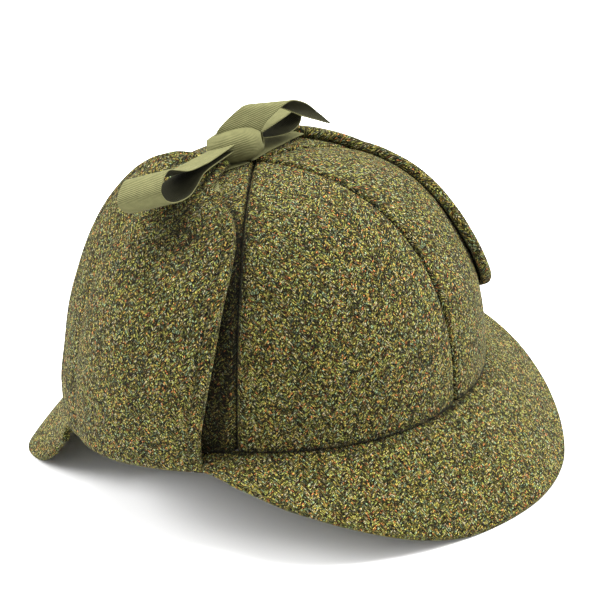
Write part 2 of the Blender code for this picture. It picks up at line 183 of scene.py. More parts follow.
def makeTweed(name, look, paintedLightTint=(1.0, 1.0, 1.0)):
    cloth = Finish(name)
    spread = cloth.add("UVMap", {"uv_map": "cloth"}, {})
    u, v = (cloth.add("SeparateXYZ", {}, {0: spread}, part) for part in range(2))
    drift = cloth.noise(spread, look["driftScale"])
    crossed = u + (drift - 0.5) * look["wander"] * 2
    zig = crossed.maths("PINGPONG", look["column"])
    column = (crossed / look["column"]).maths("FLOOR")
    rib = (v + zig * look["steep"] + (drift - 0.5) * look["wander"]) / look["rib"]
    run = (v - zig * look["steep"]) / look["fleck"] + column * look["columnShift"]
    lie = cloth.add("CombineXYZ", {}, {0: rib, 1: run})
    away, yarns = (cloth.add("TexVoronoi", {"voronoi_dimensions": "2D"},
                             {"Vector": lie, "Scale": 1.0, "Randomness": look["loose"]}, output)
                   for output in range(2))
    toneDraw, dyeDraw, liftDraw = (cloth.add("SeparateColor", {}, {0: yarns}, part) for part in range(3))
    patch = cloth.noise(spread, look["patchScale"], 3.0)
    fuzz = cloth.noise(lie, look["fuzzScale"])
    twill = (rib * math.tau).maths("SINE") * look["twill"]
    tone = cloth.ramp(toneDraw * look["yarnTone"] + fuzz * look["fuzzTone"] - look["toneDrop"] + twill,
                      look["tone"])
    dye = cloth.ramp((dyeDraw + (patch - 0.5) * look["patchDye"]).maths("FRACT"), look["dye"], "CONSTANT")
    colour = cloth.blend(1.0, dye, tone, "MULTIPLY")
    bright, fall, least = look["gap"]
    gap = (bright - away * fall).maths("MAXIMUM", least).maths("MINIMUM", 1.0)
    # painted shade: the attribute read here darkens the cloth's colour where shade falls in seams, hollows
    # and under other parts
    seam = cloth.add("Attribute", {"attribute_name": "seam"}, {}, 2)
    even, patchy = look["patchLight"]
    light = gap * (even + patch * patchy) * (1 - seam * look["paintedShadeStrength"])
    # painted light: a tint above 1 makes a lighter copy of the same cloth
    colour = cloth.darken(colour, *(light * part for part in paintedLightTint))
    gapLift, fuzzLift, yarnLift = look["relief"]
    height = gap * gapLift + fuzz * fuzzLift + liftDraw * yarnLift
    relief = cloth.add("Bump", {}, {"Strength": 0.9, "Distance": look["depth"], "Height": height})
    return cloth.finish({"Base Color": colour, "Normal": relief, "Roughness": 0.95, "Sheen Weight": 0.02,
                         "Sheen Roughness": 0.5, "Specular IOR Level": 0.05})


# ribbed ribbon: the ribs run aslant, with finer ones across them
ribbonLook = {
    "green": (0.215, 0.211, 0.092), "shade": (0.030, 0.029, 0.010), "rib": 0.00084, "depth": 0.00030,
    "slant": 0.55, "drift": 1.5, "driftScale": 300.0, "crossPace": 1.6, "ribShare": 0.75,
    "weaveTone": 0.75, "driftTone": 0.30,
}


def makeRibbon(name, look):
    cloth = Finish(name)
    spread = cloth.add("UVMap", {"uv_map": "cloth"}, {})
    u, v = (cloth.add("SeparateXYZ", {}, {0: spread}, part) for part in range(2))
    drift = cloth.noise(spread, look["driftScale"], 3.0)
    pace = math.tau / look["rib"]
    wave = ((v + u * look["slant"]) * pace + drift * look["drift"]).maths("SINE") * 0.5 + 0.5
    cross = (u * (pace * look["crossPace"])).maths("SINE") * 0.5 + 0.5
    weave = wave * look["ribShare"] + cross * (1 - look["ribShare"])
    soft = (weave * look["weaveTone"] + drift * look["driftTone"]).maths("MINIMUM", 1.0)
    colour = cloth.blend(soft, (*look["shade"], 1), (*look["green"], 1))
    # painted shade on the ribbon's reverse side, inside the loops and under the tail
    reverseShade = cloth.add("Attribute", {"attribute_name": "seam"}, {}, 2)
    light = 1 - reverseShade
    colour = cloth.darken(colour, light, light, light)
    relief = cloth.add("Bump", {}, {"Strength": 0.9, "Distance": look["depth"], "Height": weave})
    return cloth.finish({"Base Color": colour, "Normal": relief, "Roughness": 0.8, "Specular IOR Level": 0.1})


tweed = makeTweed("tweed", tweedLook)
# painted light: the peaks take a lighter copy of the same tweed
litPeakTweed = makeTweed("peak tweed painted lighter", tweedLook, (1.08, 1.08, 1.05))
ribbonCloth = makeRibbon("ribbon", ribbonLook)
print("cloth finishes made")


# the crown's form, in its own frame with the rim's sides at height 0

crown = {
    "halfWidth": 0.091, "frontLength": 0.104, "backLength": 0.076, "height": 0.098, "wall": 0.0025,
    "topForward": 0.0155, "frontDip": 0.0069, "backDip": 0.0032, "roundness": 2.29, "fullness": 2.38,
    "backRoundness": 3.10, "backFullness": 3.30, "puff": 0.0018, "puffFade": 0.7, "seamDip": 0.0010,
    # seamShade and rimShade are the widths of the painted shade along the seams and at the rim
    "roll": 0.0021, "rollWidth": 0.0009, "seamShade": 0.00048, "rimShade": 0.0008,
    "seamGap": 0.0003, "seams": (0, 65, 122, 180, 238, 295, 360), "topClimb": 89.4,
    "rowPower": 1.15, "seamPower": 12, "edgeRound": 0.4,
    "columns": 34, "rows": 64, "lean": -2.79, "place": (0.00111, 0.0158, 0.04288),
}
seat = Matrix.Translation(crown["place"]) @ Matrix.Rotation(math.radians(crown["lean"]), 4, "X")


def curveValue(a, b, c, d, share):
    return b + 0.5 * share * (c - a + share * (2 * a - 5 * b + 4 * c - d + share * (3 * (b - c) + d - a)))


def smoothRead(table, where):
    last = len(table) - 1
    if where <= table[0][0]:
        return table[0][1:]
    if where >= table[last][0]:
        return table[last][1:]
    k = next(i for i in range(last) if table[i + 1][0] >= where)
    share = (where - table[k][0]) / (table[k + 1][0] - table[k][0])
    before, after = table[max(k - 1, 0)], table[min(k + 2, last)]
    return tuple(curveValue(a, b, c, d, share)
                 for a, b, c, d in zip(before[1:], table[k][1:], table[k + 1][1:], after[1:]))


def along(points, share):
    last = len(points) - 1
    k = min(int(share * last), last - 1)
    a, b, c, d = points[max(k - 1, 0)], points[k], points[k + 1], points[min(k + 2, last)]
    return tuple(curveValue(*values, share * last - k) for values in zip(a, b, c, d))


def crownShares(bearing, climb):
    phi, t = math.radians(bearing), math.radians(climb)
    backward = ((1 - math.cos(phi)) / 2) ** 2
    planPower = crown["roundness"] + (crown["backRoundness"] - crown["roundness"]) * backward
    liftPower = crown["fullness"] + (crown["backFullness"] - crown["fullness"]) * backward
    return max(math.cos(t), 0.0) ** (2 / planPower), max(math.sin(t), 0.0) ** (2 / liftPower)


def crownShell(bearing, climb):
    phi = math.radians(bearing)
    plan, lift = crownShares(bearing, climb)
    ahead = math.cos(phi) > 0
    length = crown["frontLength"] if ahead else crown["backLength"]
    dip = crown["frontDip"] if ahead else crown["backDip"]
    return Vector((
        crown["halfWidth"] * math.sin(phi) * plan,
        -length * math.cos(phi) * plan - crown["topForward"] * lift,
        crown["height"] * lift - dip * math.cos(phi) ** 2 * (1 - lift)))


def crownNormal(bearing, climb):
    step = 0.5
    low = max(min(climb, 90 - 2 * step) - step, 0.0)
    around = crownShell(bearing + step, low + step) - crownShell(bearing - step, low + step)
    upward = crownShell(bearing, low + 2 * step) - crownShell(bearing, low)
    return around.cross(upward).normalized()


def panelPuff(bearing, climb):
    place = bearing % 360
    seams = crown["seams"]
    k = next(i for i in range(len(seams) - 1) if seams[i + 1] >= place)
    across = abs(2 * (place - seams[k]) / (seams[k + 1] - seams[k]) - 1)
    fade = max(math.cos(math.radians(climb)), 0.0) ** crown["puffFade"]
    return fade * (crown["puff"] * (1 - across ** 2) - crown["seamDip"] * across ** crown["seamPower"])


def crownPoint(bearing, climb, stand=0.0):
    return crownShell(bearing, climb) + crownNormal(bearing, climb) * (panelPuff(bearing, climb) + stand)


def rimPoint(bearing, out, up):
    phi = math.radians(bearing)
    return crownShell(bearing, 0) + Vector((math.sin(phi) * out, -math.cos(phi) * out, up))


def overCrown(x, y, stand):
    # the crown's point over this place, raised by the stand
    around = math.degrees(math.atan2(x, -y - crown["topForward"]))
    for _ in range(6):  # the bearing and the climb settle together
        low, high = 0.0, 90.0
        while high - low > 1e-6:
            climb = (low + high) / 2
            plan, lift = crownShares(around, climb)
            forward = -(y + crown["topForward"] * lift)
            length = crown["frontLength"] if forward > 0 else crown["backLength"]
            if math.hypot(x / crown["halfWidth"], forward / length) < plan:
                low = climb
            else:
                high = climb
        around = math.degrees(math.atan2(x / crown["halfWidth"], forward / length))
    puff = crown["puff"] * max(math.cos(math.radians(climb)), 0.0) ** crown["puffFade"]
    return crownShell(around, climb) + crownNormal(around, climb) * (puff + stand)


# cloth as a closed solid round a grid of points

def gridNormals(grid):
    rows, columns = len(grid), len(grid[0])
    return [[
        (grid[i][min(j + 1, columns - 1)] - grid[i][max(j - 1, 0)]).cross(
            grid[min(i + 1, rows - 1)][j] - grid[max(i - 1, 0)][j]).normalized()
        for j in range(columns)] for i in range(rows)]


def faceOutwards(piece):
    mesh = piece.data
    volume = 0.0
    for polygon in mesh.polygons:
        corners = [mesh.vertices[k].co for k in polygon.vertices]
        for k in range(1, len(corners) - 1):
            volume += corners[0].dot(corners[k].cross(corners[k + 1]))
    if volume < 0:
        mesh.flip_normals()


# painted shade: values per grid point, or one value for the side that looks into a loop or under an arch, are
# stored on the mesh to darken its colour
def clothPiece(name, grid, half, spread, material, hem, normals=None, turns=3, seam=None, reverseShade=0.0):
    rows, columns = len(grid), len(grid[0])
    normals = normals or gridNormals(grid)
    centre = sum((point for row in grid for point in row), Vector()) / (rows * columns)
    facing = sum(normals[i][j].dot(grid[i][j] - centre) for i in range(rows) for j in range(columns))
    reverseSide = -1 if facing > 0 else 1  # the side that looks into a loop or under an arch, which takes the painted shade
    points, places, faces, shades = [], [], [], []
    for side in (1, -1):
        shade = reverseShade if side == reverseSide else 0.0
        for i in range(rows):
            for j in range(columns):
                points.append(grid[i][j] + normals[i][j] * side * half(i, j))
                places.append(spread[i][j])
                shades.append(seam[i][j] if seam else shade)

    def index(side, i, j):
        return (side * rows + i) * columns + j

    for i in range(rows - 1):
        for j in range(columns - 1):
            faces.append((index(0, i, j), index(0, i, j + 1), index(0, i + 1, j + 1), index(0, i + 1, j)))
            faces.append((index(1, i, j), index(1, i + 1, j), index(1, i + 1, j + 1), index(1, i, j + 1)))
    edge = [(0, j) for j in range(columns - 1)] + [(i, columns - 1) for i in range(rows - 1)]
    edge += [(rows - 1, j) for j in range(columns - 1, 0, -1)] + [(i, 0) for i in range(rows - 1, 0, -1)]
    loops = [[index(0, i, j) for i, j in edge]]
    for turn in range(1, turns):
        angle = math.pi * turn / turns
        loop = []
        for k, (i, j) in enumerate(edge):
            before, after = edge[k - 1], edge[(k + 1) % len(edge)]
            run = grid[after[0]][after[1]] - grid[before[0]][before[1]]
            out = run.cross(normals[i][j]).normalized() * hem
            loop.append(len(points))
            points.append(grid[i][j] + normals[i][j] * math.cos(angle) * half(i, j) + out * math.sin(angle))
            inside = spread[min(max(i, 1), rows - 2)][min(max(j, 1), columns - 2)]
            step = (Vector(spread[i][j]) - Vector(inside)).normalized() * half(i, j) * angle
            places.append((spread[i][j][0] + step.x, spread[i][j][1] + step.y))
            shades.append(seam[i][j] if seam else 0.0)
        loops.append(loop)
    loops.append([index(1, i, j) for i, j in edge])
    for upper, lower in zip(loops, loops[1:]):
        for k in range(len(edge)):
            after = (k + 1) % len(edge)
            faces.append((upper[k], lower[k], lower[after], upper[after]))
    mesh = bpy.data.meshes.new(name)
    mesh.from_pydata([seat @ point for point in points], [], faces)
    clothMap = mesh.uv_layers.new(name="cloth")
    for corner in mesh.loops:
        clothMap.data[corner.index].uv = places[corner.vertex_index]
    if seam or reverseShade:
        mesh.attributes.new("seam", "FLOAT", "POINT").data.foreach_set("value", shades)
    mesh.materials.append(material)
    mesh.validate()
    mesh.shade_smooth()
    piece = bpy.data.objects.new(name, mesh)
    bpy.context.collection.objects.link(piece)
    faceOutwards(piece)
    return piece


def arcSpread(grid):
    # places in metres on the cut cloth, from the middle line
    rows, columns = len(grid), len(grid[0])
    middle = columns // 2
    rise, spread = 0.0, []
    for i in range(rows):
        if i:
            rise += (grid[i][middle] - grid[i - 1][middle]).length
        across = [0.0]
        for j in range(1, columns):
            across.append(across[-1] + (grid[i][j] - grid[i][j - 1]).length)
        spread.append([(place - across[middle], rise) for place in across])
    return spread


def dress(piece, node):
    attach(piece, "root")
    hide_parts(node)


# each row of edges: climb, front bearing, back bearing, front stand, back stand, share of the lean
flaps = {
    "thickness": 0.0030, "stand": 0.0082, "leftStand": 0.0038, "fold": 0.0062, "foldOut": 0.0074,
    "ease": 0.0004, "columns": 84, "rows": 90, "foldSteps": 12, "leftLean": 41, "leanFade": 0.5,
    "edges": (
        (3, 72.6, 137.0, 0.90, 0.46, 0.00), (9, 71.5, 137.5, 0.95, 0.30, 0.66),
        (17, 70.2, 138.0, 1.00, 0.24, 0.95), (26, 69.0, 139.0, 0.98, 0.24, 1.00),
        (35, 68.0, 141.0, 0.88, 0.34, 0.93), (43, 67.0, 144.0, 0.74, 0.48, 0.68),
        (50, 66.6, 148.0, 0.64, 0.62, 0.36), (56, 67.2, 152.0, 0.56, 0.74, 0.18),
        (61, 69.5, 155.0, 0.46, 0.86, 0.10), (65, 73.5, 156.0, 0.35, 0.95, 0.06),
        (69, 79.0, 156.0, 0.26, 1.00, 0.04), (72.5, 87.0, 154.0, 0.22, 1.00, 0.03)),
    "tip": (  # the near flap goes on to the knot
        (76.5, 91.0, 151.0, 0.20, 1.00, 0.03), (80.5, 97.0, 146.0, 0.20, 0.80, 0.03),
        (84.5, 106.0, 138.0, 0.20, 0.60, 0.03)),
    "farTop": (  # the far flap's top, rounder at the back than the near one's
        (56, 67.2, 144.0, 0.56, 0.45, 0.18), (61, 69.5, 139.0, 0.46, 0.35, 0.12),
        (65, 73.5, 131.0, 0.35, 0.30, 0.10), (69, 79.0, 118.0, 0.26, 0.10, 0.08),
        (72.5, 87.0, 104.0, 0.22, 0.10, 0.05)),
    "frontRun": 0.75, "frontPower": 1.3, "backPower": 2,
    "gather": 0.0007, "gathers": 5, "gatherFrom": 66, "gatherRun": 18,
    "hem": 0.0046, "hemWidth": 0.0007, "hemSink": 0.00045, "hemShade": 0.78, "hemStart": 4,
    "stitchProud": 0.00015, "edgeRound": 0.6,
    # shade, shadeRun, shadeTop, shadeFade and shadeUnder set the painted shade by the near flap's front edge
    "shade": 0.93, "shadeRun": 0.0058, "shadeTop": 74.0, "shadeFade": 0.0034, "shadeUnder": 0.03,
    "edgeRoll": 0.0011, "edgeRollWidth": 0.0022, "edgeRollPlace": 0.8,
    "dent": 0.0045, "dentPlace": (55, 8, 0.27, 0.14), "dentShade": 0.55,
    "foldRows": (  # share of the fold, then its run outwards and downwards
        (0.00, -0.16, 0.32), (0.22, 0.12, 0.56), (0.48, 0.46, 0.92), (0.76, 0.82, 0.80), (1.00, 0.99, 0.25)),
}


def hump(run, width):
    return math.exp(-(run / width) ** 2)


def easedShares(steps):
    # from 0 to 1, closer together at both ends
    return [0.5 - 0.5 * math.cos(math.pi * j / steps) for j in range(steps + 1)]


def paintedShadeUnderFlap(bearing, climb, pace):
    # painted shade on the cloth under the near flap's front edge and just in front of it
    if climb > flaps["edges"][-1][0]:
        return 0.0
    front = smoothRead(flaps["edges"], climb)[0]
    ahead = ((bearing - (360 - front) + 180) % 360 - 180) * pace
    if ahead < -flaps["shadeUnder"]:
        return 0.0
    run = flaps["shadeRun"] * (1 - climb / flaps["shadeTop"])
    return flaps["shade"] * hump(max(ahead - run, 0.0), flaps["shadeFade"])


def gridArea(grid):
    return sum(
        (row[j + 1] - row[j]).cross(after[j] - row[j]).length
        for row, after in zip(grid, grid[1:]) for j in range(len(row) - 1))


def declareCloth(piece, grid):
    # the flat size of a sewn piece, printed: its widest row and its middle line; its area is worked out but
    # not used
    middle = len(grid[0]) // 2
    width = max(sum((a - b).length for a, b in zip(row[1:], row)) for row in grid)
    length = sum((after[middle] - row[middle]).length for row, after in zip(grid, grid[1:]))
    round(gridArea(grid), 6)
    print(piece.name, "is cut from", round(width, 4), "by", round(length, 4))


def panelPiece(name, start, end):
    rows, columns = crown["rows"], crown["columns"]
    grid, normals, seam = [], [], []
    for i in range(rows + 1):
        climb = crown["topClimb"] * (i / rows) ** crown["rowPower"]
        pace = (crownShell(start + 1, climb) - crownShell(start, climb)).length
        paceEnd = (crownShell(end, climb) - crownShell(end - 1, climb)).length
        left, right = start + crown["seamGap"] / 2 / pace, end - crown["seamGap"] / 2 / paceEnd
        places = [left + (right - left) * share for share in easedShares(columns)]
        fromSeam = [min(place - left, right - place) * (pace + paceEnd) / 2 for place in places]
        rise = (crownShell((start + end) / 2, climb) - crownShell((start + end) / 2, 0)).length
        sunk = [crown["wall"] / 2 + crown["roll"] * hump(run, crown["rollWidth"]) for run in fromSeam]
        grid.append([crownPoint(place, climb, -low) for place, low in zip(places, sunk)])
        normals.append([crownNormal(place, climb) for place in places])
        # painted shade along the seams, at the rim and under the near flap's front edge
        rimShade = hump(rise, crown["rimShade"])
        seam.append([max(hump(run, crown["seamShade"]), rimShade, paintedShadeUnderFlap(place, climb, pace))
                     for place, run in zip(places, fromSeam)])
    half = crown["wall"] / 2
    piece = clothPiece(name, grid, lambda i, j: half, arcSpread(grid), tweed, half * crown["edgeRound"],
                       normals, seam=seam)
    declareCloth(piece, grid)
    return piece


panelNames = ("front_left", "side_left", "back_left", "back_right", "side_right", "front_right")
for k, panelName in enumerate(panelNames):
    panel = panelPiece("panel_" + panelName, crown["seams"][k], crown["seams"][k + 1])
    dress(panel, "crown_" + panelName)
print("crown made")


# peaks

peaks = {
    "thickness": 0.0035, "curl": 1.25, "gap": 0.0003, "columns": 150, "rows": 34, "grain": -42.0,
    "rowPower": 1.35, "rimShade": 0.9, "edgeRound": 0.6,
    # each row of an edge: turn from the middle, share of the reach, share of the drop
    "front": {"centre": 0, "reach": 0.0345, "drop": 0.0400, "edge": (
        (0, 1.00, 1.00), (18, 0.93, 1.00), (30, 0.86, 0.86), (42, 0.77, 0.62),
        (54, 0.65, 0.36), (64, 0.47, 0.14), (71.6, 0.27, 0.04))},
    "back": {"centre": 180, "reach": 0.0350, "drop": 0.0325, "edge": (
        (0, 1.00, 0.90), (12, 1.00, 0.96), (20, 0.96, 1.00), (28, 0.70, 0.96),
        (34, 0.46, 0.76), (41.6, 0.22, 0.42))},
}


def peakPoint(form, turn, outShare):
    reachShare, dropShare = smoothRead(form["edge"], abs(turn))
    total = crown["wall"] + form["reach"] * reachShare
    out = total * outShare - crown["wall"]
    fall = max(out / (total - crown["wall"]), 0.0) ** peaks["curl"] * form["drop"] * dropShare
    return rimPoint(form["centre"] + turn, out, -peaks["gap"] - peaks["thickness"] / 2 - fall)


def peakSpread(grid):
    # the cut cloth lies flat as a ring, whose radius comes from the rim's own length
    rows, columns = len(grid), len(grid[0])
    rimRun = sum((grid[0][j] - grid[0][j - 1]).length for j in range(1, columns))
    edgeRun = sum((grid[-1][j] - grid[-1][j - 1]).length for j in range(1, columns))
    depth = sum((grid[i][columns // 2] - grid[i - 1][columns // 2]).length for i in range(1, rows))
    sweep = (edgeRun - rimRun) / depth
    radius = rimRun / sweep
    grain = math.radians(peaks["grain"])
    spread, out = [], [0.0] * columns
    for i in range(rows):
        row = []
        for j in range(columns):
            if i:
                out[j] += (grid[i][j] - grid[i - 1][j]).length
            angle = sweep * (j / (columns - 1) - 0.5) - grain
            row.append(((radius + out[j]) * math.sin(angle), -(radius + out[j]) * math.cos(angle)))
        spread.append(row)
    return spread


def peakPiece(name, form):
    halfTurn = form["edge"][-1][0]
    rows, columns = peaks["rows"], peaks["columns"]
    outShares = [1 - (1 - i / rows) ** peaks["rowPower"] for i in range(rows + 1)]
    grid = [[peakPoint(form, halfTurn * (2 * j / columns - 1), outShare) for j in range(columns + 1)]
            for outShare in outShares]
    half = peaks["thickness"] / 2
    runs = [[0.0] * (columns + 1)]
    for i in range(1, rows + 1):
        runs.append([run + (grid[i][j] - grid[i - 1][j]).length for j, run in enumerate(runs[-1])])
    # painted shade on the peak next to its seam with the rim
    seam = [[peaks["rimShade"] * hump(run - crown["wall"], crown["rimShade"]) for run in row] for row in runs]
    piece = clothPiece(name, grid, lambda i, j: half, peakSpread(grid), litPeakTweed, half * peaks["edgeRound"],
                       turns=5, seam=seam)
    for vertex in piece.data.vertices:
        vertex.co.z = max(vertex.co.z, 0.0)
    return piece


for side in ("front", "back"):
    peak = peakPiece(side + "_brim", peaks[side])
    dress(peak, side + "_peak")
print("peaks made")


# ear flaps

def flapLie():
    return flaps["thickness"] / 2 + peaks["gap"] + flaps["ease"]


def flapDent(climb, share):
    middleClimb, climbSpread, middleShare, shareSpread = flaps["dentPlace"]
    away = ((climb - middleClimb) / climbSpread) ** 2 + ((share - middleShare) / shareSpread) ** 2
    return flaps["dent"] * math.exp(-away)


def flapLift(frontStand, backStand, share, dent):
    towardsFront = max(1 - share / flaps["frontRun"], 0.0) ** flaps["frontPower"]
    towardsBack = share ** flaps["backPower"]
    stand = max(frontStand - flapLie(), 0.0) * towardsFront + max(backStand - flapLie(), 0.0) * towardsBack
    return flapLie() + max(stand - dent, 0.0)


def edgeRuns(grid):
    # each point's way to the front edge, the back edge and the top edge
    rows, columns = len(grid), len(grid[0])
    front = [[0.0] * columns for _ in grid]
    back = [[0.0] * columns for _ in grid]
    top = [[0.0] * columns for _ in grid]
    for i in range(rows):
        for j in range(1, columns):
            front[i][j] = front[i][j - 1] + (grid[i][j] - grid[i][j - 1]).length
        for j in range(columns - 2, -1, -1):
            back[i][j] = back[i][j + 1] + (grid[i][j] - grid[i][j + 1]).length
    for i in range(rows - 2, -1, -1):
        for j in range(columns):
            top[i][j] = top[i + 1][j] + (grid[i][j] - grid[i + 1][j]).length
    return front, back, top


def hemPath(grid, normals, runs, inset, proud):
    # up the front edge, along the top and down the back edge
    front, back, top = runs
    columns = len(grid[0])
    forwards, backwards = range(columns), range(columns - 1, -1, -1)

    def atInset(i, run, order):
        k = next(k for k in range(1, columns) if run[i][order[k]] >= inset)
        before, after = order[k - 1], order[k]
        share = (inset - run[i][before]) / (run[i][after] - run[i][before])
        return grid[i][before].lerp(grid[i][after], share) + normals[i][after] * proud

    high = next(i for i in range(len(grid)) if top[i][columns // 2] < inset)
    sideRows = range(flaps["hemStart"], high)
    path = [atInset(i, front, forwards) for i in sideRows]
    path += [grid[high][j] + normals[high][j] * proud for j in range(columns)
             if front[high][j] > inset and back[high][j] > inset]
    return path + [atInset(i, back, backwards) for i in reversed(sideRows)]


hemPaths = []


def flapPiece(name, side, stand, lean, edges):
    near = side < 0
    rows, foldSteps = flaps["rows"], flaps["foldSteps"]
    shares = easedShares(flaps["columns"])
    lowest, highest = edges[0][0], edges[-1][0]
    climbs = [lowest + (highest - lowest) * i / rows for i in range(rows + 1)]
    grid = []
    for climb in climbs:
        front, back, frontStand, backStand, take = smoothRead(edges, climb)
        leaned = [side * (front + (back - front) * share - lean * take * (1 - flaps["leanFade"] * share))
                  for share in shares]
        lifts = [flapLift(stand * frontStand, stand * backStand, share, flapDent(climb, share))
                 for share in shares]
        gathered = max((climb - flaps["gatherFrom"]) / flaps["gatherRun"], 0.0) if near else 0.0
        folds = flaps["gather"] * gathered
        lifts = [lift + folds * (1 + math.sin(math.tau * flaps["gathers"] * share))
                 for lift, share in zip(lifts, shares)]
        if climb == lowest:  # the fold under the flap comes first
            for k in range(foldSteps):
                out, down = smoothRead(flaps["foldRows"], k / foldSteps)
                grid.append([
                    rimPoint(bearing, out * (flaps["foldOut"] * lift / (flaps["stand"] * frontStand)
                                             + panelPuff(bearing, 0)), -flaps["fold"] * down)
                    for bearing, lift in zip(leaned, lifts)])
        grid.append([crownPoint(bearing, climb, lift) for bearing, lift in zip(leaned, lifts)])
    runs = edgeRuns(grid)
    nearest = [[min(values) for values in zip(*rowSet)] for rowSet in zip(*runs)]
    half = flaps["thickness"] / 2
    roll = 0.0 if near else flaps["edgeRoll"]  # the far flap's front edge is turned thicker
    rollMiddle = flaps["edgeRollWidth"] * flaps["edgeRollPlace"]

    def thick(i, j):
        return (half - flaps["hemSink"] * hump(nearest[i][j] - flaps["hem"], flaps["hemWidth"])
                + roll * hump(runs[0][i][j] - rollMiddle, flaps["edgeRollWidth"]))

    # painted shade along the hem line and in the dent below the near loop
    dentShading = flaps["dentShade"] / flaps["dent"] if near else 0.0
    seam = []
    for row, climb in zip(nearest, [lowest] * foldSteps + climbs):
        hemShading = [flaps["hemShade"] * hump(run - flaps["hem"], flaps["hemWidth"]) for run in row]
        seam.append([max(dark, dentShading * flapDent(climb, share)) for dark, share in zip(hemShading, shares)])
    normals = gridNormals(grid)
    sign = 1 if normals[rows // 2][flaps["columns"] // 2].dot(Vector((side, 0, 0))) > 0 else -1
    outwards = [[normal * sign for normal in row] for row in normals]
    proud = half - flaps["hemSink"] + flaps["stitchProud"]
    hemPaths.append(hemPath(grid, outwards, runs, flaps["hem"], proud))
    piece = clothPiece(name, grid, thick, arcSpread(grid), tweed, half * flaps["edgeRound"], normals, turns=5,
                       seam=seam)
    declareCloth(piece, grid)
    return piece


for side, name, stand, lean, edges in (
        (-1, "right", flaps["stand"], 0, flaps["edges"] + flaps["tip"]),
        (1, "left", flaps["leftStand"], flaps["leftLean"],
         flaps["edges"][:-len(flaps["farTop"])] + flaps["farTop"])):
    flap = flapPiece("flap_" + name, side, stand, lean, edges)
    dress(flap, "ear_flap_" + name)
print("ear flaps made")


# stitches along a path
stitches = {"length": 0.0022, "pitch": 0.0032, "width": 0.00045, "height": 0.00030}
hemThread = (0.10, 0.09, 0.035)
threadLook = {"twist": 2600.0, "dark": 0.45, "depth": 0.0001}


def thread(name, colour):
    yarn = Finish(name)
    place = yarn.add("TexCoord", {}, {}, 3)
    twist = yarn.noise(place, threadLook["twist"], dimensions="3D")
    dark = tuple(part * threadLook["dark"] for part in colour)
    shown = yarn.blend(twist, (*dark, 1), (*colour, 1))
    relief = yarn.add("Bump", {}, {"Strength": 0.5, "Distance": threadLook["depth"], "Height": twist})
    return yarn.finish({"Base Color": shown, "Normal": relief, "Roughness": 0.8, "Specular IOR Level": 0.15})


class Tree:
    # a Geometry Nodes tree whose named inputs are the numbers of one dictionary
    def __init__(self, name, numbers):
        self.tree = bpy.data.node_groups.new(name, "GeometryNodeTree")
        face = self.tree.interface
        face.new_socket("Geometry", in_out="INPUT", socket_type="NodeSocketGeometry")
        self.numbers = {key: face.new_socket(key, in_out="INPUT", socket_type="NodeSocketFloat").identifier
                        for key in numbers}
        face.new_socket("Geometry", in_out="OUTPUT", socket_type="NodeSocketGeometry")
        self.given = self.tree.nodes.new("NodeGroupInput").outputs

    def add(self, kind, settings, sockets, output=0):
        node = self.tree.nodes.new(kind)
        for key, value in settings.items():
            setattr(node, key, value)
        for key, value in sockets.items():
            if isinstance(value, bpy.types.NodeSocket):
                self.tree.links.new(value, node.inputs[key])
            else:
                node.inputs[key].default_value = value
        return node.outputs[output] if len(node.outputs) else node

    def close(self, placed, material):
        real = self.add("GeometryNodeRealizeInstances", {}, {0: placed})
        dressed = self.add("GeometryNodeSetMaterial", {}, {"Geometry": real, "Material": material})
        self.add("NodeGroupOutput", {}, {0: dressed})


def grown(name, guideMesh, grower, numbers):
    # the tree's result as a plain mesh piece on the hat
    guide = bpy.data.objects.new(name + " guide", guideMesh)
    bpy.context.collection.objects.link(guide)
    modifier = guide.modifiers.new(name, "NODES")
    modifier.node_group = grower.tree
    for key, identifier in grower.numbers.items():
        modifier[identifier] = numbers[key]
    made = bpy.data.meshes.new_from_object(guide.evaluated_get(bpy.context.evaluated_depsgraph_get()))
    guide.modifiers.remove(modifier)
    bpy.data.objects.remove(guide)
    for vertex in made.vertices:
        vertex.co.z = max(vertex.co.z, 0.0)
    piece = bpy.data.objects.new(name, made)
    bpy.context.collection.objects.link(piece)
    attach(piece, "root")
    print(name, "has", len(made.polygons), "faces")


def stitchTree(material):
    tree = Tree("stitches along a path", stitches)
    curve = tree.add("GeometryNodeMeshToCurve", {}, {0: tree.given["Geometry"]})
    spaced = tree.add("GeometryNodeResampleCurve", {"mode": "LENGTH"},
                      {"Curve": curve, "Length": tree.given["pitch"]})
    turned = tree.add("FunctionNodeAlignRotationToVector", {"axis": "X"},
                      {"Vector": tree.add("GeometryNodeInputTangent", {}, {})})
    bead = tree.add("GeometryNodeMeshIcoSphere", {}, {"Radius": 0.5, "Subdivisions": 1})
    size = tree.add("ShaderNodeCombineXYZ", {}, {0: tree.given["length"], 1: tree.given["width"],
                                                 2: tree.given["height"]})
    tree.close(tree.add("GeometryNodeInstanceOnPoints", {}, {
        "Points": spaced, "Instance": bead, "Rotation": turned, "Scale": size}), material)
    return tree


def pathMesh(name, paths):
    points, edges = [], []
    for path in paths:
        edges += [(len(points) + k, len(points) + k + 1) for k in range(len(path) - 1)]
        points += [seat @ point for point in path]
    mesh = bpy.data.meshes.new(name)
    mesh.from_pydata(points, edges, [])
    return mesh


grown("hem_stitches", pathMesh("hem path", hemPaths), stitchTree(thread("hem thread", hemThread)), stitches)
print("hems stitched")


# loose wool fibres standing off the cloth
nap = {"density": 40000.0, "length": 0.0014, "width": 0.00006, "lean": 1.1}
napWool = {"colour": (0.115, 0.102, 0.042), "shortest": 0.4, "seeds": (7, 11, 13)}


